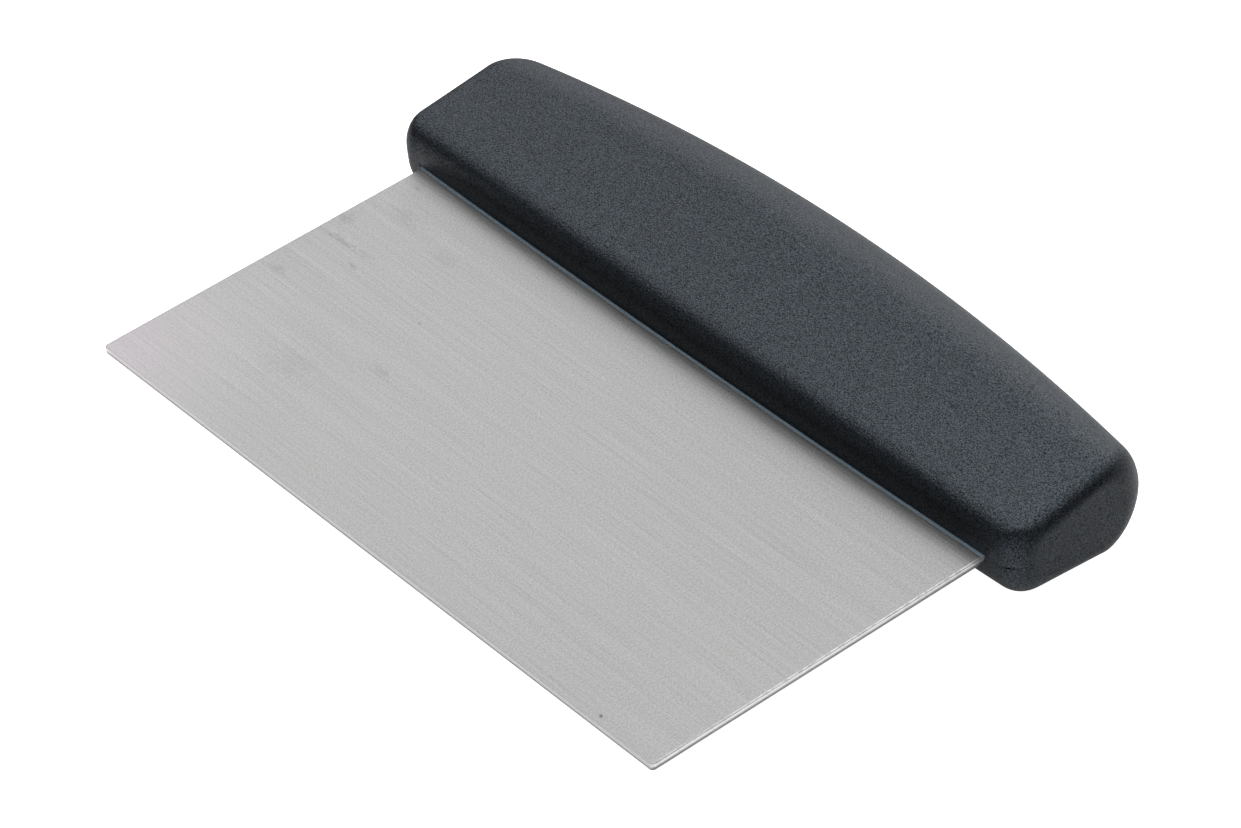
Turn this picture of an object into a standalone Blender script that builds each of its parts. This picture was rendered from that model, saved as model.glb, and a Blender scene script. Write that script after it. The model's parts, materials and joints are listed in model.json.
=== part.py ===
"""Bench scraper: a stainless steel blade gripped by a hollow handle moulded in two halves.

Each piece is laid out in blade coordinates: the middle of the working edge is the origin, X runs
along the edge, Y runs back to the handle and Z = 0 is the blade's upper face, where the handle
halves meet. The "resting_pose" empty then tips the whole tool so that it lies on a bench on its
working edge and the belly of its handle, with the bench at Z = 0.
"""
import math

import bmesh
import bpy
from mathutils import Vector

MM = 0.001

# Blade: a plain sheet with its rear strip, the tang, held inside the handle. FREE_DEPTH is the
# depth that lies clear in front of the handle, and from there the tang tapers on both sides.
BLADE_WIDTH = 152.4 * MM
BLADE_THICKNESS = 1.5 * MM
FREE_DEPTH = 70.0 * MM
TANG_END = 96.0 * MM
TANG_TAPER = 0.3 * MM
CORNER_RADIUS = 0.8 * MM
ARRIS_ROUNDING = 0.2 * MM

# Handle plan. Front and back edges are gentle arcs that close in towards the ends.
HALF_LENGTH = 83.3 * MM
FRONT_EDGE = 70.8 * MM
FRONT_BOW = 0.9 * MM
BACK_EDGE = 110.7 * MM
BACK_BOW = 7.4 * MM
END_SLANT = math.tan(math.radians(2.3))
END_SLANT_PIVOT = 90.0 * MM

# Handle section: a blunt nose, a sloping flat and a round back.
NOSE_DEPTH = 5.6 * MM
NOSE_POWER = 3.3
NOSE_HALF_HEIGHT = 7.2 * MM
NOSE_HALF_HEIGHT_AT_END = 6.6 * MM
BACK_RADIUS = 12.9 * MM
BACK_RADIUS_AT_END = 9.4 * MM

# Rounding between the body of the handle and its flat end faces. The power sets how quickly the
# radius changes from the top's to the sides' as the section turns.
END_ROUND_FRONT = 4.9 * MM
END_ROUND_TOP = 3.2 * MM
END_ROUND_BACK = 5.9 * MM
END_ROUND_POWER = 1.5

# Moulding details inside the handle.
WALL = 2.6 * MM
FIT_GAP = 0.3 * MM
RIB_THICKNESS = 2.0 * MM
RIB_PLACES = [x * MM for x in (-66.0, -36.0, 0.0, 36.0, 66.0)]
PIN_PLACES = [x * MM for x in (-51.0, -18.0, 18.0, 51.0)]
PIN_ROW = 84.5 * MM
PIN_RADIUS = 2.2 * MM
PIN_LENGTH = 8.0 * MM
SOCKET_DEPTH = 9.0 * MM
BOSS_RADIUS = 4.5 * MM

# Shut-off lip of the upper half, a bead that runs along the blade slot.
LIP_PROUD = 0.5 * MM
LIP_HEIGHT = 0.3 * MM
LIP_ROOT = 0.8 * MM

# Facets.
NOSE_STEPS = 9
FLAT_STEPS = 5
BACK_STEPS = 14
BODY_STATIONS = 21
ROUND_STEPS = 7
ROUND_SEGMENTS = 24

BIG = 300.0 * MM


def clear_scene():
    for obj in list(bpy.data.objects):
        bpy.data.objects.remove(obj, do_unlink=True)


def new_collection(name):
    collection = bpy.data.collections.new(name)
    bpy.context.scene.collection.children.link(collection)
    return collection


def make_material(name, color, roughness, metallic):
    material = bpy.data.materials.new(name)
    material.use_nodes = True
    shader = material.node_tree.nodes["Principled BSDF"]
    shader.inputs["Base Color"].default_value = (*color, 1.0)
    shader.inputs["Roughness"].default_value = roughness
    shader.inputs["Metallic"].default_value = metallic
    return material


def add_object(name, bm, collection):
    mesh = bpy.data.meshes.new(name)
    bm.to_mesh(mesh)
    bm.free()
    obj = bpy.data.objects.new(name, mesh)
    collection.objects.link(obj)
    return obj


def add_box(name, low, high, collection):
    bm = bmesh.new()
    bmesh.ops.create_cube(bm, size=1.0)
    for vert in bm.verts:
        vert.co = Vector([lo + (c + 0.5) * (hi - lo) for c, lo, hi in zip(vert.co, low, high)])
    return add_object(name, bm, collection)


def add_cylinder(name, center_x, radius, low, high, collection):
    """An upright cylinder in the row of weld pins."""
    bm = bmesh.new()
    bmesh.ops.create_cone(bm, cap_ends=True, segments=ROUND_SEGMENTS, radius1=radius,
                          radius2=radius, depth=high - low)
    bmesh.ops.translate(bm, verts=bm.verts, vec=(center_x, PIN_ROW, (low + high) / 2))
    return add_object(name, bm, collection)


def hide_tool(obj):
    obj.hide_render = True
    obj.display_type = "WIRE"


def combine(target, tool, operation):
    modifier = target.modifiers.new(operation.title() + "_" + tool.name, "BOOLEAN")
    modifier.operation = operation
    modifier.solver = "EXACT"
    modifier.object = tool
    hide_tool(tool)


def front_edge(x):
    return FRONT_EDGE + FRONT_BOW * (x / HALF_LENGTH) ** 2


def back_edge(x):
    return BACK_EDGE - BACK_BOW * (x / HALF_LENGTH) ** 2


def nose_half_height(x):
    drop = NOSE_HALF_HEIGHT - NOSE_HALF_HEIGHT_AT_END
    return NOSE_HALF_HEIGHT - drop * abs(x / HALF_LENGTH) ** 3


def section_sizes(x, inset):
    """Front, height at the front, centre and radius of the back, and slope of the flat at x."""
    front = front_edge(x) + inset
    nose = nose_half_height(x) - inset
    radius = BACK_RADIUS - (BACK_RADIUS - BACK_RADIUS_AT_END) * (x / HALF_LENGTH) ** 2 - inset
    center = back_edge(x) - inset - radius
    # The flat starts at the top of the nose and touches the back circle.
    reach = math.hypot(center - front, nose)
    slope = math.asin(radius / reach) - math.atan2(nose, center - front)
    return front, nose, center, radius, slope


def half_section(x, inset):
    """Upper half of the handle's section at x, from the front seam point to the back one."""
    front, nose, center, radius, slope = section_sizes(x, inset)
    points = []
    for i in range(NOSE_STEPS + 1):
        turn = math.pi / 2 * i / NOSE_STEPS
        y = NOSE_DEPTH * (1.0 - max(math.cos(turn), 0.0) ** (2.0 / NOSE_POWER))
        z = (nose + y * math.tan(slope)) * math.sin(turn) ** (2.0 / NOSE_POWER)
        points.append((front + y, z))
    flat_start = points[-1]
    flat_end = (center - radius * math.sin(slope), radius * math.cos(slope))
    for i in range(1, FLAT_STEPS):
        k = i / FLAT_STEPS
        points.append(tuple(a + (b - a) * k for a, b in zip(flat_start, flat_end)))
    for i in range(BACK_STEPS + 1):
        turn = (math.pi / 2 + slope) * (1.0 - i / BACK_STEPS)
        points.append((center + radius * math.cos(turn), radius * math.sin(turn)))
    points[-1] = (center + radius, 0.0)
    return points


def end_rounding(points, i):
    """Radius of the rounding to the end face at point i of a half section."""
    if i == 0:
        return END_ROUND_FRONT
    if i == len(points) - 1:
        return END_ROUND_BACK
    run = points[i + 1][0] - points[i - 1][0]
    rise = points[i + 1][1] - points[i - 1][1]
    side = END_ROUND_FRONT if rise > 0.0 and i <= NOSE_STEPS else END_ROUND_BACK
    length = math.hypot(run, rise)
    return (side * abs(rise / length) ** END_ROUND_POWER
            + END_ROUND_TOP * abs(run / length) ** END_ROUND_POWER)


def end_half_ring(turn, inset):
    """Half ring where the rounding at the +X end has turned by turn towards the end face."""
    half_length = HALF_LENGTH - inset
    start = half_section(half_length - END_ROUND_TOP, inset)
    shrink = 1.0 - math.cos(turn)
    ring = []
    for i in range(len(start)):
        x = half_length - (end_rounding(start, i) - inset) * (1.0 - math.sin(turn))
        y, z = half_section(x, inset)[i]
        front, nose, center, radius, slope = section_sizes(x, inset)
        height = radius
        if i < NOSE_STEPS + FLAT_STEPS:
            height = min(nose + (y - front) * math.tan(slope), radius)
        front_step = (END_ROUND_FRONT - inset) * shrink
        back_step = (END_ROUND_BACK - inset) * shrink
        top_step = (END_ROUND_TOP - inset) * shrink
        depth = center + radius - front
        y = front + front_step + (y - front) * (1.0 - (front_step + back_step) / depth)
        z *= 1.0 - top_step / height
        ring.append((x, y, z))
    return ring


def handle_rings(inset):
    """Half rings of (x, y, z) from the -X end face to the +X end face."""
    body_half = HALF_LENGTH - END_ROUND_FRONT - END_ROUND_BACK
    body = []
    for i in range(BODY_STATIONS):
        x = body_half * (2.0 * i / (BODY_STATIONS - 1) - 1.0)
        body.append([(x, y, z) for y, z in half_section(x, inset)])
    right = [end_half_ring(math.pi / 2 * i / ROUND_STEPS, inset) for i in range(ROUND_STEPS + 1)]
    left = [[(-x, y, z) for x, y, z in ring] for ring in reversed(right)]
    return left + body + right


def slant_ends(point):
    x, y, z = point
    return (x * (1.0 - END_SLANT * (y - END_SLANT_PIVOT) / HALF_LENGTH), y, z)


def loft(rings):
    """Closed body through equal rings of points, with a flat face on each end ring."""
    bm = bmesh.new()
    loops = [[bm.verts.new(point) for point in ring] for ring in rings]
    count = len(loops[0])
    for near, far in zip(loops, loops[1:]):
        for i in range(count):
            j = (i + 1) % count
            bm.faces.new((near[i], near[j], far[j], far[i]))
    ends = [bm.faces.new(reversed(loops[0])), bm.faces.new(loops[-1])]
    bmesh.ops.triangulate(bm, faces=ends)
    bmesh.ops.recalc_face_normals(bm, faces=bm.faces)
    return bm


def add_half_form(name, side, seam, inset, skirt, collection):
    """Solid half of the handle above (side 1) or below (side -1) the seam height.

    Its surface is moved inward by inset, and it runs past the seam by the skirt.
    """
    rings = []
    for half in handle_rings(inset):
        ring = [slant_ends(point) for point in half]
        if skirt > 0.0:
            ring = [(*ring[0][:2], -skirt)] + ring + [(*ring[-1][:2], -skirt)]
        rings.append([(x, y, seam + side * z) for x, y, z in ring])
    return add_object(name, loft(rings), collection)


def hollow_out(half, side, seam, cutters):
    """Core the half out, leaving its wall, its ribs and a boss around each pin place."""
    name = half.name.replace("handle", "core")
    core = add_half_form(name, side, seam, WALL, MM, cutters)
    for i, x in enumerate(RIB_PLACES):
        low = (x - RIB_THICKNESS / 2, 0.0, -BIG)
        high = (x + RIB_THICKNESS / 2, BIG, BIG)
        combine(core, add_box(f"{name}_rib_{i}", low, high, cutters), "DIFFERENCE")
    for i, x in enumerate(PIN_PLACES):
        boss = add_cylinder(f"{name}_boss_{i}", x, BOSS_RADIUS, -BACK_RADIUS, BACK_RADIUS, cutters)
        combine(core, boss, "DIFFERENCE")
    combine(half, core, "DIFFERENCE")


def add_lip(name, collection):
    """Bead along the slot, just in front of the handle's front edge and above the blade."""
    rings = []
    for i in range(BODY_STATIONS):
        x = BLADE_WIDTH * (i / (BODY_STATIONS - 1) - 0.5)
        face = front_edge(x)
        rings.append([(x, face - LIP_PROUD, FIT_GAP), (x, face + LIP_ROOT, FIT_GAP),
                      (x, face + LIP_ROOT, FIT_GAP + LIP_HEIGHT),
                      (x, face - LIP_PROUD / 2, FIT_GAP + LIP_HEIGHT)])
    return add_object(name, loft(rings), collection)


def build_blade(parts, cutters):
    """Sheet with rounded working corners, a tapered tang and a hole in it for each weld pin."""
    bm = bmesh.new()
    bmesh.ops.create_cube(bm, size=1.0)
    for vert in bm.verts:
        vert.co = Vector((vert.co.x * BLADE_WIDTH, (vert.co.y + 0.5) * TANG_END,
                          (vert.co.z - 0.5) * BLADE_THICKNESS))
    corners = [e for e in bm.edges if all(v.co.y == 0.0 for v in e.verts)
               and e.verts[0].co.x == e.verts[1].co.x]
    bmesh.ops.bevel(bm, geom=corners, offset=CORNER_RADIUS, segments=4, profile=0.5,
                    affect="EDGES")
    everything = list(bm.verts) + list(bm.edges) + list(bm.faces)
    bmesh.ops.bisect_plane(bm, geom=everything, plane_co=(0.0, FREE_DEPTH, 0.0),
                           plane_no=(0.0, 1.0, 0.0))
    for vert in bm.verts:
        if vert.co.y > (FREE_DEPTH + TANG_END) / 2:
            vert.co.x -= math.copysign(TANG_TAPER, vert.co.x)
    blade = add_object("blade", bm, parts)
    rounding = blade.modifiers.new("Arris", "BEVEL")
    rounding.width = ARRIS_ROUNDING
    rounding.segments = 1
    rounding.limit_method = "ANGLE"
    rounding.angle_limit = math.radians(60.0)
    for i, x in enumerate(PIN_PLACES):
        hole = add_cylinder(f"tang_hole_{i}", x, PIN_RADIUS + FIT_GAP, -BLADE_THICKNESS - MM, MM,
                            cutters)
        combine(blade, hole, "DIFFERENCE")
    return blade


def build_upper_half(parts, cutters):
    """Upper moulding: shell, ribs that press on the tang, four weld pins and the slot lip."""
    half = add_half_form("handle_upper_half", 1, FIT_GAP, 0.0, 0.0, parts)
    hollow_out(half, 1, FIT_GAP, cutters)
    for i, x in enumerate(PIN_PLACES):
        pin = add_cylinder(f"weld_pin_{i}", x, PIN_RADIUS, -PIN_LENGTH, BOSS_RADIUS, cutters)
        combine(half, pin, "UNION")
    combine(half, add_lip("slot_lip", cutters), "UNION")
    return half


def build_lower_half(parts, cutters):
    """Lower moulding: shell, ribs, sockets for the weld pins and the pocket for the tang."""
    half = add_half_form("handle_lower_half", -1, 0.0, 0.0, 0.0, parts)
    hollow_out(half, -1, 0.0, cutters)
    side = BLADE_WIDTH / 2 + FIT_GAP
    pocket = add_box("tang_pocket", (-side, 0.0, -BLADE_THICKNESS - FIT_GAP),
                     (side, TANG_END + FIT_GAP, MM), cutters)
    combine(half, pocket, "DIFFERENCE")
    for i, x in enumerate(PIN_PLACES):
        socket = add_cylinder(f"socket_{i}", x, PIN_RADIUS + FIT_GAP, -SOCKET_DEPTH, MM, cutters)
        combine(half, socket, "DIFFERENCE")
    return half


def add_resting_pose(objects):
    """Tip the tool onto its working edge and handle belly, with the footprint centred."""
    center = BACK_EDGE - BACK_RADIUS
    reach = math.hypot(center, BLADE_THICKNESS)
    tilt = math.asin(BACK_RADIUS / reach) - math.atan2(BLADE_THICKNESS, center)
    depth = center * math.cos(tilt) + BACK_RADIUS
    pose = bpy.data.objects.new("resting_pose", None)
    bpy.context.scene.collection.objects.link(pose)
    pose.location = (0.0, -depth / 2, BLADE_THICKNESS * math.cos(tilt))
    pose.rotation_euler = (tilt, 0.0, 0.0)
    for obj in objects:
        obj.parent = pose


def shade(obj, material):
    obj.data.materials.append(material)
    obj.data.shade_smooth()
    obj.data.set_sharp_from_angle(angle=math.radians(35.0))


def main():
    clear_scene()
    parts = new_collection("bench_scraper")
    cutters = new_collection("moulding_tools")
    steel = make_material("brushed_stainless", (0.55, 0.54, 0.52), 0.32, 1.0)
    plastic = make_material("blue_black_plastic", (0.022, 0.025, 0.031), 0.48, 0.0)
    blade = build_blade(parts, cutters)
    upper = build_upper_half(parts, cutters)
    lower = build_lower_half(parts, cutters)
    shade(blade, steel)
    shade(upper, plastic)
    shade(lower, plastic)
    add_resting_pose(list(parts.objects) + list(cutters.objects))


main()
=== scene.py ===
"""Looks of the bench scraper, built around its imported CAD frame.

The fine pieces are laid out in blade coordinates: the middle of the working edge is the origin, X
runs along the edge, Y runs back to the handle and Z = 0 is the blade's upper face, where the two
handle halves meet. The resting placement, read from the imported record, then lays them on the floor.
"""

import json
import math

import bmesh
import bpy
from mathutils import Matrix, Vector, noise


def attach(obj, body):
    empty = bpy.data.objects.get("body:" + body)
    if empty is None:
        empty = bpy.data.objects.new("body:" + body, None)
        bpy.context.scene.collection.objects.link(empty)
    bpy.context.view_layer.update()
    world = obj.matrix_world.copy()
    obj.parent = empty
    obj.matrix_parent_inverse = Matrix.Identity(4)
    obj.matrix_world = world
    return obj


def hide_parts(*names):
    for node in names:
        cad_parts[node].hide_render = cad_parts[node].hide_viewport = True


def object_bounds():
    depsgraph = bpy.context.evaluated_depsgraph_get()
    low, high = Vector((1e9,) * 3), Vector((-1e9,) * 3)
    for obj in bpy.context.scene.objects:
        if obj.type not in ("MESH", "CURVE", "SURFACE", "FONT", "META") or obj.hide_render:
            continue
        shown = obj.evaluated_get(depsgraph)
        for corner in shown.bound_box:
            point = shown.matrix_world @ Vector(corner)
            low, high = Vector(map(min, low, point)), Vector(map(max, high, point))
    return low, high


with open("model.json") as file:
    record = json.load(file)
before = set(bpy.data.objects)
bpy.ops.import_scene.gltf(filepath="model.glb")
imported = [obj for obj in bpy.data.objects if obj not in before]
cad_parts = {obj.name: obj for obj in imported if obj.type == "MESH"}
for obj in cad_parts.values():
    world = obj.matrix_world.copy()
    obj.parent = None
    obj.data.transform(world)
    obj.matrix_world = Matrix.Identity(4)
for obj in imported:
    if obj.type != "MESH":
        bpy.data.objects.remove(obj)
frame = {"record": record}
cad_low, cad_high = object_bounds()

MM = 0.001

# Blade.
BLADE_WIDTH = 152.4 * MM
BLADE_THICKNESS = 1.5 * MM
TANG_END = 96.0 * MM
CORNER_RADIUS = 0.8 * MM
CORNER_STEPS = 8
EDGE_STEP = 0.4 * MM

# Roll-over of the sheet's edges: wide and uneven at the sides, slight along the working edge.
SIDE_ARRIS_WIDTH = 0.32 * MM
SIDE_ARRIS_DROP = 0.24 * MM
FRONT_ARRIS = 0.10 * MM
BOTTOM_ARRIS = 0.22 * MM
ARRIS_STEPS = 6
ARRIS_SHORT_WAVE = 1.6 * MM
ARRIS_SHORT_CHANGE = 0.20
ARRIS_LONG_WAVE = 8.0 * MM
ARRIS_LONG_CHANGE = 0.15
ARRIS_SEED_LEFT = 23.0
ARRIS_SEED_RIGHT = 11.0
ARRIS_LONG_SEED_STEP = 5.0
FLAT_BORDER = 0.2 * MM

# Distance from the working edge back to the record's point on the blade's upper face.
MOUNT_DEPTH = 35.0 * MM

# Handle plan. Front and back edges are gentle arcs that close in towards the ends.
HALF_LENGTH = 83.3 * MM
FRONT_EDGE = 70.8 * MM
FRONT_BOW = 0.9 * MM
BACK_EDGE = 110.7 * MM
BACK_BOW = 7.4 * MM
END_SLANT = math.tan(math.radians(2.3))
END_SLANT_PIVOT = 90.0 * MM

# Handle section: a blunt nose, a sloping flat and a round back.
NOSE_DEPTH = 5.6 * MM
NOSE_POWER = 3.3
NOSE_HALF_HEIGHT = 7.2 * MM
NOSE_HALF_HEIGHT_AT_END = 6.6 * MM
BACK_RADIUS = 12.9 * MM
BACK_RADIUS_AT_END = 9.4 * MM

# Rounding between the body of the handle and its flat end faces. The power sets how quickly the
# radius changes from the top's to the sides' as the section turns.
END_ROUND_FRONT = 4.9 * MM
END_ROUND_TOP = 3.2 * MM
END_ROUND_BACK = 5.9 * MM
END_ROUND_POWER = 1.5

# The seam between the halves, which has opened a little at the front of the +X end.
SEAM_GAP = 0.03 * MM
OPENING = 0.12 * MM
OPENING_X = 81.4 * MM
OPENING_REACH = 0.9 * MM
OPENING_HEIGHT = 3.0 * OPENING

# The slot for the tang and the sloping bead along it, uneven and ending at the blade's sides.
SLOT_GAP = 0.06 * MM
LIP_PROUD = 0.52 * MM
LIP_HEIGHT = 0.20 * MM
LIP_POWER = 1.15
LIP_STEPS = 8
LIP_END = 0.6 * MM
LIP_WAVE = 4.0 * MM
LIP_CHANGE = 0.16
LIP_SEED = 3.0

# How far the tool that cuts the slot starts in front of the handle and above the seam.
CUTTER_AHEAD = 10.0 * MM
CUTTER_ABOVE = 5.0 * MM

# Masks for the plastic. The bead's painted highlight grows over its first BEAD_FADE. Painted shade,
# laid on as lost gloss, covers the foot of the front face up to FOOT_TOP and as far as FOOT_SIDE,
# and the end faces at a lower share of its strength. Each fades over its own distance.
BEAD_FADE = 0.1 * MM
FOOT_TOP = 6.4 * MM
FOOT_FADE = 2.2 * MM
FOOT_SIDE = BLADE_WIDTH / 2 + 3.0 * MM
FOOT_SIDE_FADE = 8.0 * MM
END_FADE = 1.5 * MM
END_SHADE = 0.85

# Facets.
NOSE_STEPS = 26
FLAT_STEPS = 16
BACK_STEPS = 40
BODY_STATIONS = 61
APPROACH_STATIONS = 12
ROUND_STEPS = 16
CAP_INSET = 0.94

# Angles in degrees between faces, above which the edge between them is shaded sharp.
BLADE_SHARP = 50.0
HANDLE_SHARP = 45.0

# The middle range of a noise texture, outside which its values are rare.
NOISE_RANGE = (0.3, 0.7)

# Noise textures: frequency per mm along each axis of their coordinates, detail and roughness. The
# first four are on the blade's UV map, whose first axis runs across the brush lines.
BRUSH_LINES = ((6.5, 0.05, 1.0), 3.0, 0.7)
STREAKS = ((1.3, 0.010, 1.0), 3.0, 0.6)
GRIT = ((3.8, 2.6, 1.0), 2.0, 0.6)
RAGGED = ((0.9, 0.5, 1.0), 4.0, 0.7)
DASHES = ((0.25, 0.8, 0.25), 2.0, 0.6)
PEBBLES = ((3.1, 3.1, 3.1), 2.0, 0.6)
SPECKS = ((4.2, 4.2, 4.2), 1.5, 0.5)
TINTS = ((2.4, 2.4, 2.4), 1.0, 0.5)

# Tone of the steel, and how far each texture moves it either way.
STEEL_TONE = 0.428
BRUSH_TONE = 0.032
STREAK_TONE = 0.014
GRIT_TONE = 0.070

# Painted sheen: slow changes of tone back from the working edge and along it, which stand in for
# the changing reflection of the light: two places and the change at each.
SHEEN_BACKWARDS = (15.0 * MM, 65.0 * MM, 0.0, -0.014)
SHEEN_SIDEWAYS = (-80.0 * MM, 80.0 * MM, 0.034, -0.026)

# Stains on the upper face: depth from the working edge and place along it, half their extent in
# each of these directions, all in mm, and how much darker their middles are.
STAINS = ((48.0, -70.0, 1.0, 6.5, 0.085), (48.6, -63.0, 0.8, 3.4, 0.060),
          (52.6, -74.2, 2.6, 2.2, 0.065), (60.6, -66.5, 3.0, 6.0, 0.045),
          (35.0, -71.4, 1.4, 3.6, 0.065), (44.8, -62.3, 0.6, 1.4, 0.100),
          (57.4, -51.5, 2.6, 5.5, 0.030), (20.0, -48.0, 6.0, 8.0, 0.030),
          (30.4, -34.6, 1.8, 3.6, 0.045), (67.2, -71.8, 0.5, 0.7, 0.130),
          (1.6, 61.4, 0.42, 0.46, 0.220), (43.4, -40.6, 0.45, 0.5, 0.140))
STAIN_RAGGEDNESS = 0.5

# The film at the front -X corner, whose tint is its own and whose brightness is painted sheen: its
# middle (depth from the working edge and place along it) and radius in mm, its extra tone, and green
# and blue as parts of red off the film and in it.
FILM_AND_SHEEN_CENTER = (-5.0, -80.0)
FILM_AND_SHEEN_RADIUS = 45.0
SHEEN_TONE = 0.100
GREEN_PART = (0.998, 0.945)
BLUE_PART = (0.996, 0.985)

# Edges of the sheet: components of the normal where each kind of surface starts and is full.
ARRIS_BESIDE_FLAT = (0.985, 0.94)
ARRIS_BESIDE_CUT = (0.25, 0.45)
ARRIS_NOT_AHEAD = (-0.45, -0.30)
CUT_BESIDE_ARRIS = (0.80, 0.55)
AHEAD_BESIDE_SIDE = (-0.60, -0.95)

# Painted highlight on the side arrises: its growth back from the working edge, and its breaks into
# dashes.
ARRIS_HIGHLIGHT_GROWTH = (6.0 * MM, 26.0 * MM, 0.13, 0.36)
ARRIS_HIGHLIGHT_DASHES = (0.38, 0.56, 0.22, 1.0)

# Cut edges: depths, as parts of the thickness, where they start to be torn and are fully torn, and
# the tone there, each at the sides and along the working edge. The darker torn part is also painted
# shade, for the shadowed floor that it faces. The burnished part above has a broken tone at the
# sides, which is also a painted highlight, and an even one along the working edge.
TORN_AND_SHADED_START = (0.31, 0.50)
TORN_AND_SHADED_FULL = (0.70, 0.76)
TORN_AND_SHADED_TONE = (0.36, 0.48)
BURNISH_AND_HIGHLIGHT_DASHES = (0.36, 0.54, 0.90, 1.0)
BURNISHED_AHEAD = 0.84

# Shine of the steel, and the depth of its brush lines.
STEEL_ROUGHNESS = (0.25, 0.75, 0.26, 0.35)
STEEL_ANISOTROPY = 0.6
BRUSH_DEPTH = 0.004 * MM
BRUSH_STRENGTH = 0.25

# Plastic: colors, and the ranges of its textures together with the ranges of what they set.
PLASTIC_COLOR = (0.0035, 0.0043, 0.0055, 1.0)
# The bead's color is a painted highlight, a pale blue for the light that it catches.
BEAD_HIGHLIGHT_COLOR = (0.22, 0.29, 0.35, 1.0)
PLASTIC_ROUGHNESS = (0.3, 0.7, 0.34, 0.46)
PLASTIC_GLOSS = (0.34, 0.66, 0.21, 1.42)
PLASTIC_IOR = 1.5
# Share of the gloss that the painted shade takes away.
SHADE_GLOSS_LOSS = 0.55
TINT_RANGE = (0.35, 0.65)
BLUE_TINT = (0.64, 0.82, 1.0, 1.0)
PALE_TINT = (0.80, 0.88, 1.0, 1.0)
PEBBLE_DEPTH = 0.12 * MM
PEBBLE_STRENGTH = 1.0

BLACK = (0.0, 0.0, 0.0, 1.0)
WHITE = (1.0, 1.0, 1.0, 1.0)

# Floor: how far it reaches from the middle in m, its clearance below the object, its color, its own
# light, and the further light that only the camera sees.
FLOOR_REACH = 3.0
FLOOR_CLEARANCE = 0.02 * MM
FLOOR_COLOR = (0.85, 0.85, 0.85, 1.0)
FLOOR_ROUGHNESS = 0.9
FLOOR_LIGHT = 0.24
FLOOR_LIGHT_FOR_CAMERA = 0.85

# The floor as the object sees it: two distances from the middle of the frame, and the part of its
# color and own light that is left there.
FLOOR_FADE = (110.0 * MM, 190.0 * MM, 0.97, 0.2)

# Light: direction of the dome's bright part, cosines of the angles where it starts to fade and is
# gone, and the strengths outside and inside it.
DOME_CENTER = (-0.35, 0.42, 0.84)
DOME_INNER = 0.63
DOME_OUTER = 0.46
DOME_DIM = 0.06
DOME_BRIGHT = 1.20

# The dome grows brighter towards +X: X components of two directions, and the ratio at each.
DOME_SIDE = (-0.95, -0.48, 0.50, 1.19)

# The strip: direction, cosines where it starts and is full, height range of its top, strength.
STRIP_CENTER = (0.70, -0.70, 0.12)
STRIP_OUTER = 0.45
STRIP_INNER = 0.88
STRIP_TOP = 0.46
STRIP_FULL = 0.22
STRIP = 0.42

# Camera: direction and distance from its aim, lens and sensor in mm, clipping distances in m, and
# how far the aim lies from the middle of the object.
AZIMUTH = math.radians(50.864)
ELEVATION = math.radians(35.284)
CAMERA_DISTANCE = 1003.04 * MM
CAMERA_LENS = 169.64
SENSOR_WIDTH = 36.0
CLIP_START = 0.05
CLIP_END = 20.0
AIM_SHIFT = Vector((4.76, -3.33, -5.03)) * MM


# Placement of blade coordinates in the row frame.

def resting_placement():
    """Matrix from blade coordinates to the row frame, from the blade's upper face in the record."""
    mount = next(m for m in frame["record"]["mounts"] if m["name"] == "blade_upper_face")
    point = Vector(mount["pos_m"])
    normal = Vector(mount["axis"])
    depthwise = normal.cross(Vector((1.0, 0.0, 0.0)))
    depthwise.normalize()
    origin = point - depthwise * MOUNT_DEPTH
    turn = Matrix((Vector((1.0, 0.0, 0.0)), depthwise, normal)).transposed().to_4x4()
    return Matrix.Translation(origin) @ turn


# Small helpers.

def clamp(value):
    """Value held between 0 and 1."""
    return min(max(value, 0.0), 1.0)


def wander(value, wavelength, seed):
    """Smooth repeatable variation between about -1 and 1 along a length."""
    return noise.noise(Vector((value / wavelength, seed, 0.5 * seed)))


def quarter_turn(steps):
    """Angles from 0 to 90 degrees in equal steps."""
    return [math.pi / 2 * i / steps for i in range(steps + 1)]


# Mesh helpers.

def new_object(name, bm):
    mesh = bpy.data.meshes.new(name)
    bm.to_mesh(mesh)
    bm.free()
    obj = bpy.data.objects.new(name, mesh)
    bpy.context.scene.collection.objects.link(obj)
    return obj


def apply_modifiers(obj):
    graph = bpy.context.evaluated_depsgraph_get()
    mesh = bpy.data.meshes.new_from_object(obj.evaluated_get(graph))
    obj.modifiers.clear()
    obj.data = mesh


def loft(rings):
    """Closed body through equal rings of points, with a flat face on each end ring."""
    bm = bmesh.new()
    loops = [[bm.verts.new(point) for point in ring] for ring in rings]
    count = len(loops[0])
    for near, far in zip(loops, loops[1:]):
        for i in range(count):
            j = (i + 1) % count
            bm.faces.new((near[i], near[j], far[j], far[i]))
    bm.faces.new(reversed(loops[0]))
    bm.faces.new(loops[-1])
    bmesh.ops.recalc_face_normals(bm, faces=bm.faces)
    return bm


def smooth(obj, sharp_degrees):
    obj.data.shade_smooth()
    obj.data.set_sharp_from_angle(angle=math.radians(sharp_degrees))


# Handle form.

def front_edge(x):
    return FRONT_EDGE + FRONT_BOW * (x / HALF_LENGTH) ** 2


def back_edge(x):
    return BACK_EDGE - BACK_BOW * (x / HALF_LENGTH) ** 2


def nose_half_height(x):
    drop = NOSE_HALF_HEIGHT - NOSE_HALF_HEIGHT_AT_END
    return NOSE_HALF_HEIGHT - drop * abs(x / HALF_LENGTH) ** 3


def lip_proud(x):
    """How far the bead along the slot stands out at x."""
    end = clamp((BLADE_WIDTH / 2 - abs(x)) / LIP_END)
    return LIP_PROUD * end * (1.0 + LIP_CHANGE * wander(x, LIP_WAVE, LIP_SEED))


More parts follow.
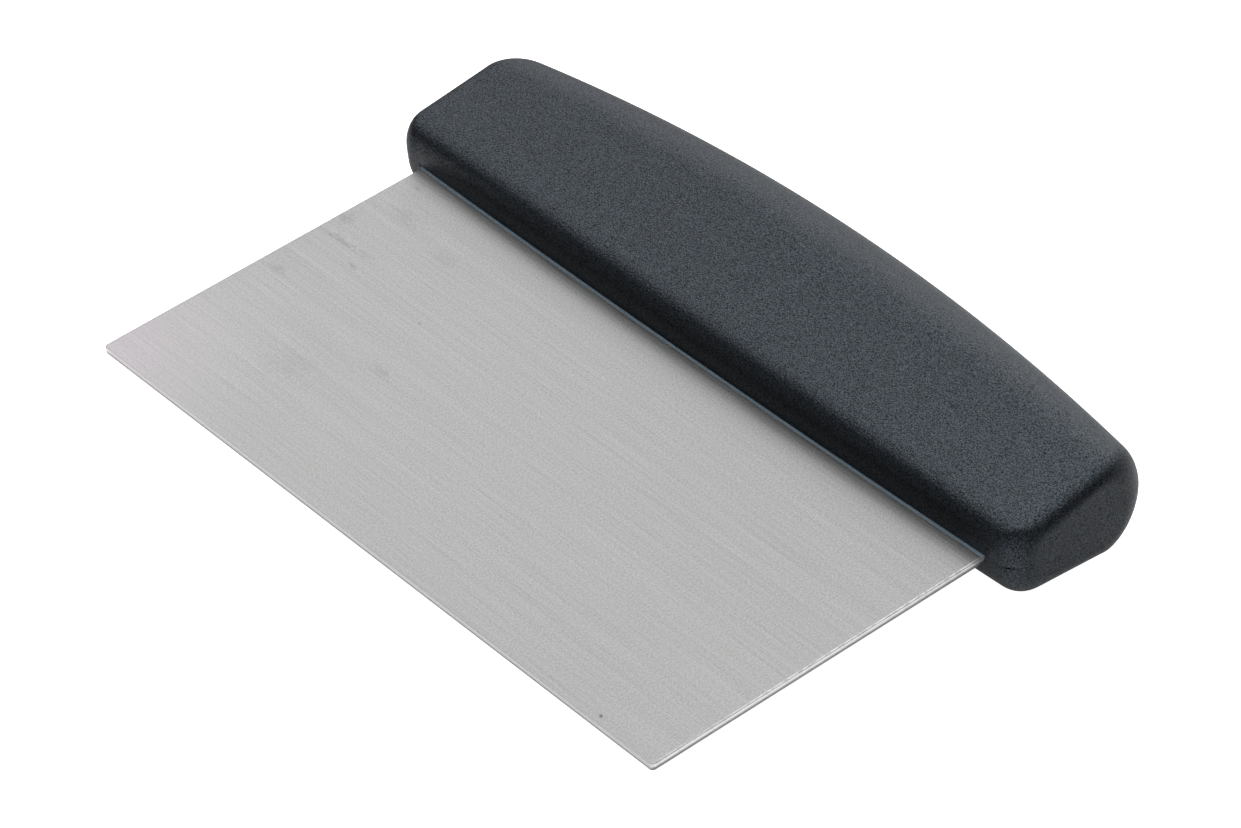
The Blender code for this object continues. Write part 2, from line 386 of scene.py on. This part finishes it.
def section_sizes(x):
    """Front, height at the front, centre and radius of the back, and slope of the flat at x."""
    front = front_edge(x)
    nose = nose_half_height(x)
    radius = BACK_RADIUS - (BACK_RADIUS - BACK_RADIUS_AT_END) * (x / HALF_LENGTH) ** 2
    center = back_edge(x) - radius
    # The flat starts at the top of the nose and touches the back circle.
    reach = math.hypot(center - front, nose)
    slope = math.asin(radius / reach) - math.atan2(nose, center - front)
    return front, nose, center, radius, slope


def half_section(x, lip):
    """Upper half of the handle's section at x, from the front seam point to the back one."""
    front, nose, center, radius, slope = section_sizes(x)
    points = []
    proud = lip_proud(x) if lip else 0.0
    for turn in quarter_turn(LIP_STEPS):
        out = max(math.cos(turn), 0.0) ** (2.0 / LIP_POWER)
        up = math.sin(turn) ** (2.0 / LIP_POWER)
        points.append((front - proud * out, LIP_HEIGHT * up))
    for turn in quarter_turn(NOSE_STEPS)[1:]:
        y = NOSE_DEPTH * (1.0 - max(math.cos(turn), 0.0) ** (2.0 / NOSE_POWER))
        z = (nose + y * math.tan(slope)) * math.sin(turn) ** (2.0 / NOSE_POWER)
        points.append((front + y, z))
    flat_start = points[-1]
    flat_end = (center - radius * math.sin(slope), radius * math.cos(slope))
    for i in range(1, FLAT_STEPS):
        k = i / FLAT_STEPS
        points.append(tuple(a + (b - a) * k for a, b in zip(flat_start, flat_end)))
    for i in range(BACK_STEPS + 1):
        turn = (math.pi / 2 + slope) * (1.0 - i / BACK_STEPS)
        points.append((center + radius * math.cos(turn), radius * math.sin(turn)))
    points[-1] = (center + radius, 0.0)
    return points


def end_rounding(points, i):
    """Radius of the rounding to the end face at point i of a half section."""
    if i <= LIP_STEPS:
        return END_ROUND_FRONT
    if i == len(points) - 1:
        return END_ROUND_BACK
    run = points[i + 1][0] - points[i - 1][0]
    rise = points[i + 1][1] - points[i - 1][1]
    on_nose = rise > 0.0 and i <= LIP_STEPS + NOSE_STEPS
    side = END_ROUND_FRONT if on_nose else END_ROUND_BACK
    length = math.hypot(run, rise)
    return (side * abs(rise / length) ** END_ROUND_POWER
            + END_ROUND_TOP * abs(run / length) ** END_ROUND_POWER)


def end_half_ring(turn, roundings):
    """Half ring where the rounding at the +X end has turned by turn towards the end face."""
    shrink = 1.0 - math.cos(turn)
    ring = []
    for i, rounding in enumerate(roundings):
        x = HALF_LENGTH - rounding * (1.0 - math.sin(turn))
        y, z = half_section(x, False)[i]
        front, nose, center, radius, slope = section_sizes(x)
        # Height of the handle's top over this point.
        height = radius
        if i < LIP_STEPS + NOSE_STEPS + FLAT_STEPS:
            height = min(nose + (y - front) * math.tan(slope), radius)
        front_step = END_ROUND_FRONT * shrink
        back_step = END_ROUND_BACK * shrink
        depth = center + radius - front
        y = front + front_step + (y - front) * (1.0 - (front_step + back_step) / depth)
        z *= 1.0 - END_ROUND_TOP * shrink / height
        ring.append((x, y, z))
    return ring


def inner_ring(ring):
    """The ring of an end face drawn in a little, which keeps the face flat up to its edge."""
    middle = (ring[0][1] + ring[-1][1]) / 2
    return [(x, middle + (y - middle) * CAP_INSET, z * CAP_INSET) for x, y, z in ring]


def end_rings(side, lip, roundings, body_half):
    """Half rings from the body's last station out to the end face at the +X (side 1) or -X end."""
    rings = []
    for k in range(1, APPROACH_STATIONS):
        ring = []
        for i, rounding in enumerate(roundings):
            along = (HALF_LENGTH - rounding - body_half) * k / APPROACH_STATIONS
            x = side * (body_half + along)
            ring.append((x, *half_section(x, lip)[i]))
        rings.append(ring)
    for turn in quarter_turn(ROUND_STEPS):
        rings.append([(side * x, y, z) for x, y, z in end_half_ring(turn, roundings)])
    rings.append(inner_ring(rings[-1]))
    return rings


def handle_rings(lip):
    """Half rings of (x, y, z) from the -X end face to the +X end face."""
    start = half_section(HALF_LENGTH - END_ROUND_TOP, False)
    roundings = [end_rounding(start, i) for i in range(len(start))]
    body_half = HALF_LENGTH - END_ROUND_FRONT - END_ROUND_BACK
    body = []
    for i in range(BODY_STATIONS):
        x = body_half * (2.0 * i / (BODY_STATIONS - 1) - 1.0)
        body.append([(x, y, z) for y, z in half_section(x, lip)])
    left = end_rings(-1.0, lip, roundings, body_half)
    right = end_rings(1.0, lip, roundings, body_half)
    return left[::-1] + body + right


def end_slant(y):
    """Ratio of the handle's length at depth y to its length at the pivot of the slanted ends."""
    return 1.0 - END_SLANT * (y - END_SLANT_PIVOT) / HALF_LENGTH


def seam_lift(x, y, z):
    """Height of a half's surface above the middle of the seam, for height z on its section."""
    opening = 0.0
    if y < (FRONT_EDGE + BACK_EDGE) / 2:
        opening = OPENING * math.exp(-((x - OPENING_X) / OPENING_REACH) ** 4)
    return SEAM_GAP / 2 + z + opening * math.exp(-z / OPENING_HEIGHT)


def bead_highlight_mask(x, y, lip):
    """1 on the bead along the slot, where its painted highlight goes, 0 off it."""
    if lip and abs(x) < BLADE_WIDTH / 2:
        return clamp((front_edge(x) - y) / BEAD_FADE)
    return 0.0


def painted_shade_mask(x, y, z):
    """Painted shade: 1 on the foot of the front face, a lower share on the end faces, 0 on the rest.
    """
    foot = 0.0
    if y < FRONT_EDGE + NOSE_DEPTH:
        foot = clamp((FOOT_SIDE - x) / FOOT_SIDE_FADE) * clamp((FOOT_TOP - abs(z)) / FOOT_FADE)
    end = clamp((abs(x) / end_slant(y) - HALF_LENGTH) / END_FADE + 1.0)
    return max(foot, END_SHADE * end)


def build_half(name, side, lip):
    """Half of the handle above (side 1) or below (side -1) the seam."""
    rings = []
    for half in handle_rings(lip):
        slanted = [(x * end_slant(y), y, z) for x, y, z in half]
        rings.append([(x, y, side * seam_lift(x, y, z)) for x, y, z in slanted])
    bm = loft(rings)
    # Masks for the painted highlight on the bead and for painted shade.
    bead = bm.verts.layers.float.new("bead")
    painted_shade = bm.verts.layers.float.new("painted_shade")
    for vert in bm.verts:
        x, y, z = vert.co
        vert[bead] = bead_highlight_mask(x, y, lip)
        vert[painted_shade] = painted_shade_mask(x, y, z)
    return new_object(name, bm)


def cut_slot(half):
    """Pocket for the tang, open at the front and at the seam."""
    bm = bmesh.new()
    bmesh.ops.create_cube(bm, size=1.0)
    side = BLADE_WIDTH / 2 + SLOT_GAP
    low = (-side, FRONT_EDGE - CUTTER_AHEAD, -BLADE_THICKNESS - SLOT_GAP)
    high = (side, TANG_END + SLOT_GAP, CUTTER_ABOVE)
    for vert in bm.verts:
        vert.co = Vector([a + (c + 0.5) * (b - a) for c, a, b in zip(vert.co, low, high)])
    cutter = new_object("slot_cutter", bm)
    slot = half.modifiers.new("Slot", "BOOLEAN")
    slot.operation = "DIFFERENCE"
    slot.solver = "EXACT"
    slot.object = cutter
    apply_modifiers(half)
    bpy.data.objects.remove(cutter)


# Blade form.

def front_corner(center_x, start):
    """Points round a front corner of the sheet, the first of which faces in the direction start."""
    points = []
    for turn in quarter_turn(CORNER_STEPS):
        out = (math.cos(start + turn), math.sin(start + turn))
        points.append((center_x + CORNER_RADIUS * out[0], CORNER_RADIUS + CORNER_RADIUS * out[1],
                       *out))
    return points


def sheet_outline():
    """Points round the blade as (x, y, outward x, outward y), from the front left corner."""
    half = BLADE_WIDTH / 2
    corner = CORNER_RADIUS
    straight = BLADE_WIDTH - 2 * corner
    count = round(straight / EDGE_STEP)
    front = [(-half + corner + straight * i / count, 0.0, 0.0, -1.0) for i in range(1, count)]
    count = round((TANG_END - corner) / EDGE_STEP)
    right = [(half, corner + (TANG_END - corner) * i / count, 1.0, 0.0) for i in range(1, count)]
    left = [(-x, y, -1.0, 0.0) for x, y, _, _ in reversed(right)]
    root = math.sqrt(0.5)
    back = [(half, TANG_END, root, root), (-half, TANG_END, -root, root)]
    return (front_corner(-half + corner, math.pi) + front
            + front_corner(half - corner, 1.5 * math.pi) + right + back + left)


def arris_size(x, y, out_x, out_y):
    """Width and drop of the roll-over at a point of the outline."""
    aside = out_x * out_x
    # On the sides y counts double, which halves the lengths of the waves there.
    along = x + 2.0 * y if abs(out_x) > abs(out_y) else x
    seed = ARRIS_SEED_RIGHT if out_x > 0.5 else ARRIS_SEED_LEFT
    short = wander(along, ARRIS_SHORT_WAVE, seed)
    long = wander(along, ARRIS_LONG_WAVE, seed + ARRIS_LONG_SEED_STEP)
    uneven = 1.0 + aside * (ARRIS_SHORT_CHANGE * short + ARRIS_LONG_CHANGE * long)
    width = (FRONT_ARRIS + (SIDE_ARRIS_WIDTH - FRONT_ARRIS) * aside) * uneven
    drop = (FRONT_ARRIS + (SIDE_ARRIS_DROP - FRONT_ARRIS) * aside) * uneven
    return width, drop


def edge_profile(width, drop):
    """Points of (inset, z) from the upper face round the edge to the underside."""
    under = BOTTOM_ARRIS
    turns = quarter_turn(ARRIS_STEPS)
    profile = [(width + FLAT_BORDER, 0.0)]
    profile += [(width * (1.0 - math.sin(t)), -drop * (1.0 - math.cos(t))) for t in turns]
    profile += [(under * (1.0 - math.cos(t)), -BLADE_THICKNESS + under * (1.0 - math.sin(t)))
                for t in turns]
    return profile + [(under + FLAT_BORDER, -BLADE_THICKNESS)]


def build_blade(name):
    """Sheet whose sheared edges roll over into its upper face."""
    bm = bmesh.new()
    columns = []
    for x, y, out_x, out_y in sheet_outline():
        profile = edge_profile(*arris_size(x, y, out_x, out_y))
        columns.append([bm.verts.new((x - out_x * inset, y - out_y * inset, z))
                        for inset, z in profile])
    for near, far in zip(columns, columns[1:] + columns[:1]):
        for a, b, c, d in zip(near, near[1:], far[1:], far):
            bm.faces.new((a, b, c, d))
    bm.faces.new([column[0] for column in columns])
    bm.faces.new([column[-1] for column in reversed(columns)])
    bmesh.ops.recalc_face_normals(bm, faces=bm.faces)
    # Depth below the upper face, as a part of the thickness.
    depth = bm.verts.layers.float.new("depth")
    for vert in bm.verts:
        vert[depth] = -vert.co.z / BLADE_THICKNESS
    # The map's U runs across the brush lines, the way their shine spreads, and V along them.
    layer = bm.loops.layers.uv.new("brushing")
    for face in bm.faces:
        for loop in face.loops:
            co = loop.vert.co
            loop[layer].uv = (co.y + co.z, co.x)
    return new_object(name, bm)


# Materials.

class Nodes:
    """Short way to make and wire the shader nodes of a material or a world."""

    def __init__(self, owner):
        self.owner = owner
        owner.use_nodes = True
        self.tree = owner.node_tree
        kinds = ("BSDF_PRINCIPLED", "BACKGROUND")
        self.shader = next(n for n in self.tree.nodes if n.type in kinds)

    def add(self, kind, inputs=(), **settings):
        node = self.tree.nodes.new(kind)
        for key, value in settings.items():
            setattr(node, key, value)
        for key, value in dict(inputs).items():
            self.put(node, key, value)
        return node

    def put(self, node, key, value):
        if isinstance(value, bpy.types.NodeSocket):
            self.tree.links.new(value, node.inputs[key])
        else:
            node.inputs[key].default_value = value

    def math(self, operation, a, b):
        return self.add("ShaderNodeMath", {0: a, 1: b}, operation=operation).outputs[0]

    def total(self, value, *others):
        for other in others:
            value = self.math("ADD", value, other)
        return value

    def product(self, value, *others):
        for other in others:
            value = self.math("MULTIPLY", value, other)
        return value

    def vector_math(self, operation, a, b, result="Vector"):
        node = self.add("ShaderNodeVectorMath", {0: a, 1: b}, operation=operation)
        return node.outputs[result]

    def length(self, vector):
        return self.vector_math("LENGTH", vector, (0.0, 0.0, 0.0), "Value")

    def ramp(self, value, low, high, to_low=0.0, to_high=1.0):
        """Eased passage from to_low to to_high as value goes from low to high."""
        inputs = {0: value, 1: low, 2: high, 3: to_low, 4: to_high}
        return self.add("ShaderNodeMapRange", inputs, interpolation_type="SMOOTHSTEP").outputs[0]

    def between(self, factor, at_zero, at_one):
        """Eased passage from one value to another as factor goes from 0 to 1."""
        return self.ramp(factor, 0.0, 1.0, at_zero, at_one)

    def swing(self, texture, reach):
        """The range of a noise texture drawn out to between -reach and reach."""
        return self.ramp(texture, *NOISE_RANGE, -reach, reach)

    def coordinates(self, source):
        return self.add("ShaderNodeTexCoord").outputs[source]

    def axes(self, vector):
        return self.add("ShaderNodeSeparateXYZ", {0: vector}).outputs

    def geometry(self, output):
        return self.add("ShaderNodeNewGeometry").outputs[output]

    def attribute(self, name):
        return self.add("ShaderNodeAttribute", attribute_name=name).outputs["Fac"]

    def noise(self, source, per_mm, detail, roughness):
        """Noise over the named coordinates, with a frequency per millimetre for each axis."""
        scale = [k / MM for k in per_mm]
        place = self.add("ShaderNodeMapping", {"Vector": self.coordinates(source), "Scale": scale})
        inputs = {"Vector": place.outputs[0], "Scale": 1.0, "Detail": detail,
                  "Roughness": roughness}
        return self.add("ShaderNodeTexNoise", inputs).outputs["Fac"]

    def spot(self, center, reach, wobble=0.0):
        """1 inside a soft oval on the UV map, falling to 0 at its rim, which wobble pushes about.

        The center and the half extents are given in millimetres.
        """
        middle = (center[0] * MM, center[1] * MM, 0.0)
        extent = (reach[0] * MM, reach[1] * MM, 1.0)
        apart = self.vector_math("SUBTRACT", self.coordinates("UV"), middle)
        apart = self.length(self.vector_math("DIVIDE", apart, extent))
        return self.between(self.math("ADD", apart, wobble), 1.0, 0.0)

    def mix(self, factor, a, b):
        """Mixture of two colors, which are inputs 6 and 7 of the node and its output 2."""
        node = self.add("ShaderNodeMix", data_type="RGBA")
        for key, value in ((0, factor), (6, a), (7, b)):
            self.put(node, key, value)
        return node.outputs[2]

    def bump(self, height, distance, strength):
        inputs = {"Strength": strength, "Distance": distance, "Height": height}
        self.put(self.shader, "Normal", self.add("ShaderNodeBump", inputs).outputs[0])


def steel_tone(n, lines, place, film_and_sheen):
    """Change of tone from place to place: texture, stains, and painted sheen in slow gradients and in
    the film's brightening.
    """
    tone = n.total(n.swing(lines, BRUSH_TONE),
                   n.swing(n.noise("UV", *STREAKS), STREAK_TONE),
                   n.swing(n.noise("UV", *GRIT), GRIT_TONE))
    wobble = n.swing(n.noise("UV", *RAGGED), STAIN_RAGGEDNESS)
    for y, x, depthwise, along, darker in STAINS:
        mark = n.spot((y, x), (depthwise, along), wobble)
        tone = n.math("SUBTRACT", tone, n.product(mark, darker))
    # Painted sheen: the slow gradients of tone, and the film's brightening.
    return n.total(tone, n.ramp(place["X"], *SHEEN_BACKWARDS), n.ramp(place["Y"], *SHEEN_SIDEWAYS),
                   n.product(film_and_sheen, SHEEN_TONE))


def steel_edges(n, tone, place):
    """Tone of the sheet's flats, arrises and cut edges, told apart by the way they face, with painted
    highlights on the arrises and burnished cut edges and painted shade on the torn parts.
    """
    facing = n.axes(n.geometry("Normal"))
    dashes = n.noise("Object", *DASHES)
    # Painted highlight on the side arrises, broken into dashes and growing back from the working
    # edge.
    arris_highlight = n.product(n.ramp(facing["Z"], *ARRIS_BESIDE_FLAT),
                      n.ramp(facing["Z"], *ARRIS_BESIDE_CUT),
                      n.ramp(facing["Y"], *ARRIS_NOT_AHEAD),
                      n.ramp(dashes, *ARRIS_HIGHLIGHT_DASHES),
                      n.ramp(place["X"], *ARRIS_HIGHLIGHT_GROWTH))
    # The cut edges are burnished at the top, with a painted highlight at the sides, and are torn
    # further down, with painted shade.
    cut = n.ramp(facing["Z"], *CUT_BESIDE_ARRIS)
    ahead = n.ramp(facing["Y"], *AHEAD_BESIDE_SIDE)
    torn_and_shaded = n.ramp(n.attribute("depth"), n.between(ahead, *TORN_AND_SHADED_START), n.between(ahead, *TORN_AND_SHADED_FULL))
    above = n.between(ahead, n.ramp(dashes, *BURNISH_AND_HIGHLIGHT_DASHES), BURNISHED_AHEAD)
    below = n.between(ahead, *TORN_AND_SHADED_TONE)
    sheared = n.total(n.between(torn_and_shaded, above, below), tone)
    # The flats' tone, with the painted highlight of the arrises added.
    flat = n.total(tone, STEEL_TONE, arris_highlight)
    return n.total(n.product(flat, n.math("SUBTRACT", 1.0, cut)), n.product(sheared, cut))


def steel_material():
    """Brushed stainless steel with faint stains and painted sheen, a painted highlight on the side
    arrises, and painted shade on the torn edges.
    """
    n = Nodes(bpy.data.materials.new("brushed_stainless"))
    lines = n.noise("UV", *BRUSH_LINES)
    place = n.axes(n.coordinates("UV"))
    # Spot of the film: its tint is laid on below, and its brightening is painted sheen.
    film_and_sheen = n.spot(FILM_AND_SHEEN_CENTER, (FILM_AND_SHEEN_RADIUS, FILM_AND_SHEEN_RADIUS))
    value = steel_edges(n, steel_tone(n, lines, place, film_and_sheen), place)
    green = n.product(value, n.between(film_and_sheen, *GREEN_PART))
    blue = n.product(value, n.between(film_and_sheen, *BLUE_PART))
    color = n.add("ShaderNodeCombineColor", {0: value, 1: green, 2: blue}).outputs[0]
    tangent = n.add("ShaderNodeTangent", direction_type="UV_MAP", uv_map="brushing").outputs[0]
    n.put(n.shader, "Base Color", color)
    n.put(n.shader, "Metallic", 1.0)
    n.put(n.shader, "Roughness", n.ramp(lines, *STEEL_ROUGHNESS))
    n.put(n.shader, "Anisotropic", STEEL_ANISOTROPY)
    n.put(n.shader, "Tangent", tangent)
    n.bump(lines, BRUSH_DEPTH, BRUSH_STRENGTH)
    return n.owner


def plastic_material():
    """Satin blue-black plastic with a fine pebble grain, a pale blue painted highlight on the slot
    bead, and painted shade as lost gloss on the foot of the front face and on the end faces.
    """
    n = Nodes(bpy.data.materials.new("blue_black_plastic"))
    pebble = n.noise("Object", *PEBBLES)
    specks = n.noise("Object", *SPECKS)
    tints = n.noise("Object", *TINTS)
    # Gloss that is left where painted shade takes part of it away.
    kept = n.math("SUBTRACT", 1.0, n.product(n.attribute("painted_shade"), SHADE_GLOSS_LOSS))
    tint = n.mix(n.ramp(tints, *TINT_RANGE), BLUE_TINT, PALE_TINT)
    # Pale blue painted highlight on the bead along the slot.
    n.put(n.shader, "Base Color", n.mix(n.attribute("bead"), PLASTIC_COLOR, BEAD_HIGHLIGHT_COLOR))
    n.put(n.shader, "Roughness", n.ramp(pebble, *PLASTIC_ROUGHNESS))
    n.put(n.shader, "IOR", PLASTIC_IOR)
    n.put(n.shader, "Specular IOR Level", n.product(n.ramp(specks, *PLASTIC_GLOSS), kept))
    n.put(n.shader, "Specular Tint", tint)
    n.bump(pebble, PEBBLE_DEPTH, PEBBLE_STRENGTH)
    return n.owner


def floor_material():
    """Paper that is bright for the camera and less so, fading with distance, for the object."""
    n = Nodes(bpy.data.materials.new("pale_floor"))
    seen = n.add("ShaderNodeLightPath").outputs["Is Camera Ray"]
    near = n.ramp(n.length(n.geometry("Position")), *FLOOR_FADE)
    level = n.math("MAXIMUM", seen, near)
    light = n.total(n.product(near, FLOOR_LIGHT), n.product(seen, FLOOR_LIGHT_FOR_CAMERA))
    n.put(n.shader, "Base Color", n.mix(level, BLACK, FLOOR_COLOR))
    n.put(n.shader, "Roughness", FLOOR_ROUGHNESS)
    n.put(n.shader, "Specular IOR Level", 0.0)
    n.put(n.shader, "Emission Color", WHITE)
    n.put(n.shader, "Emission Strength", light)
    return n.owner


# Stage.

def build_floor():
    """Pale floor in the plane that the object rests on."""
    bm = bmesh.new()
    bmesh.ops.create_grid(bm, x_segments=1, y_segments=1, size=FLOOR_REACH)
    floor = new_object("floor", bm)
    floor.location.z = cad_low.z - FLOOR_CLEARANCE
    floor.data.materials.append(floor_material())


def build_light():
    """Soft dome, bright overhead and behind the object and dim in front, where a low strip is."""
    world = bpy.data.worlds.new("studio")
    bpy.context.scene.world = world
    n = Nodes(world)
    place = n.coordinates("Generated")
    along = n.axes(place)

    def toward(direction):
        return n.vector_math("DOT_PRODUCT", place, Vector(direction).normalized(), "Value")

    dome = n.ramp(toward(DOME_CENTER), DOME_OUTER, DOME_INNER, DOME_DIM, DOME_BRIGHT)
    side = n.add("ShaderNodeMapRange", enumerate((along["X"], *DOME_SIDE))).outputs[0]
    strip = n.product(n.ramp(toward(STRIP_CENTER), STRIP_OUTER, STRIP_INNER, 0.0, STRIP),
                      n.ramp(along["Z"], STRIP_TOP, STRIP_FULL))
    n.put(n.shader, "Strength", n.total(n.product(dome, side), strip))
    n.put(n.shader, "Color", WHITE)


def build_camera():
    """Camera at the photo's viewing angle."""
    aim = (cad_low + cad_high) / 2 + AIM_SHIFT
    back = Vector((math.sin(AZIMUTH) * math.cos(ELEVATION),
                   -math.cos(AZIMUTH) * math.cos(ELEVATION), math.sin(ELEVATION)))
    data = bpy.data.cameras.new("camera")
    data.lens = CAMERA_LENS
    data.sensor_width = SENSOR_WIDTH
    data.clip_start = CLIP_START
    data.clip_end = CLIP_END
    camera = bpy.data.objects.new("camera", data)
    bpy.context.scene.collection.objects.link(camera)
    camera.location = aim + back * CAMERA_DISTANCE
    camera.rotation_mode = "QUATERNION"
    camera.rotation_quaternion = (-back).to_track_quat("-Z", "Y")
    bpy.context.scene.camera = camera


# Assembly.

def place_piece(obj, material, node, placement):
    obj.data.materials.clear()
    obj.data.materials.append(material)
    obj.data.transform(placement)
    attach(obj, "root")
    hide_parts(node)


def main():
    placement = resting_placement()
    steel = steel_material()
    plastic = plastic_material()
    blade = build_blade("blade_sheet")
    upper = build_half("handle_upper_shell", 1.0, True)
    lower = build_half("handle_lower_shell", -1.0, False)
    cut_slot(lower)
    smooth(blade, BLADE_SHARP)
    smooth(upper, HANDLE_SHARP)
    smooth(lower, HANDLE_SHARP)
    place_piece(blade, steel, "blade", placement)
    place_piece(upper, plastic, "handle_upper_half", placement)
    place_piece(lower, plastic, "handle_lower_half", placement)
    build_floor()
    build_light()
    build_camera()
    bpy.context.scene.view_settings.view_transform = "Standard"


main()
